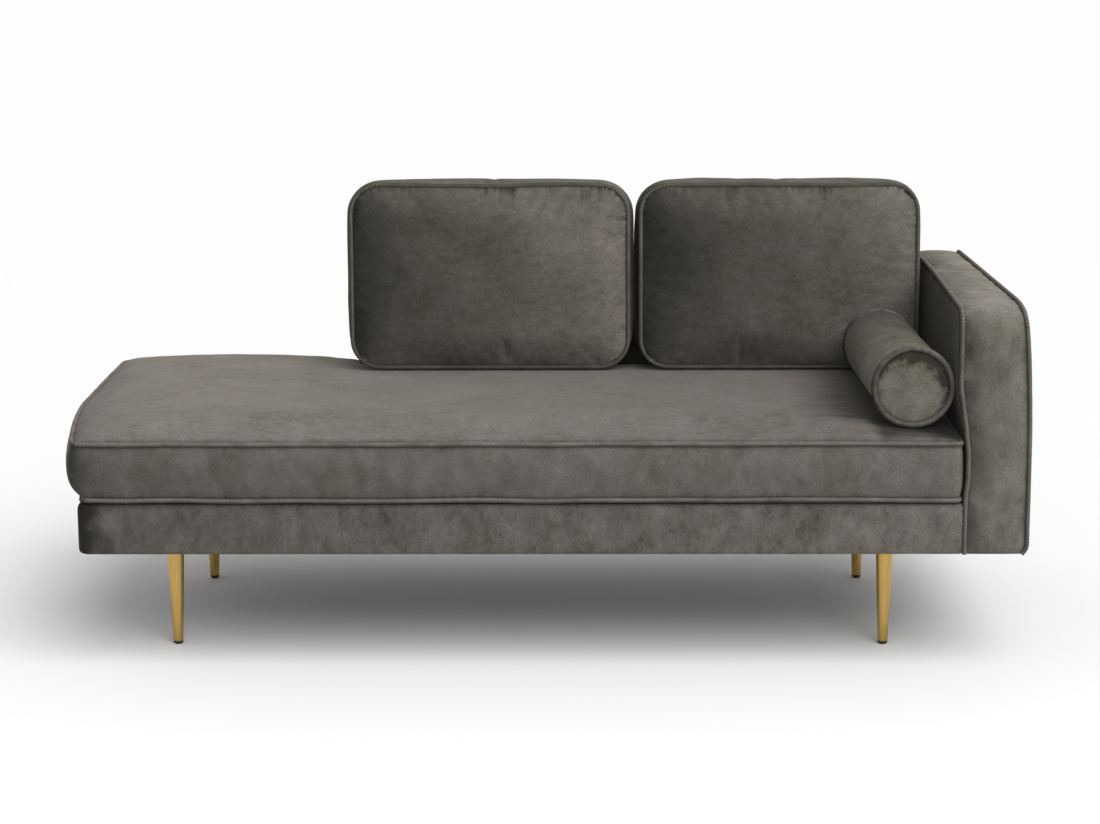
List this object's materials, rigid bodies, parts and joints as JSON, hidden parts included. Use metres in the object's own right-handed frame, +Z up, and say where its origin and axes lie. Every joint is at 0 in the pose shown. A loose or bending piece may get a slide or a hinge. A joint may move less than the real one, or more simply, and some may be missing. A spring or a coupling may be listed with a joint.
{
  "type": "chaise longue",
  "caption": "Velvet chaise longue with an upholstered arm at the right, a long boxed seat with welts, loose back cushions, a bolster and tapered gold legs.",
  "frame": {"origin": "centre of the bounding box at floor level", "axes": "+X along the length towards the arm, -Y towards the front, +Z up"},
  "size_m": [1.7, 0.7284, 0.7962],
  "materials": {
    "velvet": "grey-brown brushed velvet with a soft nap",
    "foam": "open-cell upholstery foam",
    "fibre": "white fibre filling in a cloth bag",
    "timber": "planed softwood",
    "hardboard": "smooth brown hardboard",
    "webbing": "woven elastic webbing",
    "deck_cloth": "dark plain-weave cloth",
    "dust_cloth": "black non-woven cloth",
    "gold_metal": "gold-coloured, satin brushed",
    "glide_plastic": "matt black",
    "zinc_steel": "bright zinc"
  },
  "bodies": {
    "chaise": {"arm_bolts": "zinc_steel", "arm_edge_foam": "foam", "arm_gusset": "velvet", "arm_inner_board": "hardboard", "arm_inner_cover": "velvet", "arm_inner_foam": "foam", "arm_inner_welt": "velvet", "arm_insert_nuts": "zinc_steel", "arm_outer_board": "hardboard", "arm_outer_cover": "velvet", "arm_outer_foam": "foam", "arm_outer_welt": "velvet", "arm_posts": "timber", "arm_rails": "timber", "arm_spacer": "timber", "back_border": "velvet", "back_rail": "timber", "backrest_back_panel": "velvet", "backrest_board": "hardboard", "backrest_edge_cover": "velvet", "backrest_edge_foam": "foam", "backrest_front_cover": "velvet", "backrest_front_foam": "foam", "backrest_posts": "timber", "backrest_rails": "timber", "backrest_screws": "zinc_steel", "corner_blocks": "timber", "cross_rails": "timber", "deck_cloth": "deck_cloth", "dust_cover": "dust_cloth", "front_border": "velvet", "front_rail": "timber", "glide_front_left": "glide_plastic", "glide_front_right": "glide_plastic", "glide_rear_left": "glide_plastic", "glide_rear_right": "glide_plastic", "left_border": "velvet", "left_end_rail": "timber", "leg_bearers": "timber", "leg_front_left": "gold_metal", "leg_front_right": "gold_metal", "leg_rear_left": "gold_metal", "leg_rear_right": "gold_metal", "leg_tee_nuts": "zinc_steel", "long_webbing": "webbing", "right_end_rail": "timber", "seat_bottom_welt": "velvet", "seat_cushion": "velvet", "seat_foam": "foam", "seat_top_welt": "velvet", "seat_webbing": "webbing"},
    "left_back_cushion": {"left_back_cushion": "velvet", "left_back_core": "fibre", "left_back_welts": "velvet"},
    "right_back_cushion": {"right_back_cushion": "velvet", "right_back_core": "fibre", "right_back_welts": "velvet"},
    "bolster": {"bolster": "velvet", "bolster_core": "fibre", "bolster_welts": "velvet"}
  },
  "joints": [
    {"name": "left_back_cushion_lift", "type": "slide", "parent": "chaise", "child": "left_back_cushion", "axis": [0, 0, 1], "range_m": [0, 0.25]},
    {"name": "right_back_cushion_lift", "type": "slide", "parent": "chaise", "child": "right_back_cushion", "axis": [0, 0, 1], "range_m": [0, 0.25]},
    {"name": "bolster_lift", "type": "slide", "parent": "chaise", "child": "bolster", "axis": [0, 0, 1], "range_m": [0, 0.25]}
  ]
}
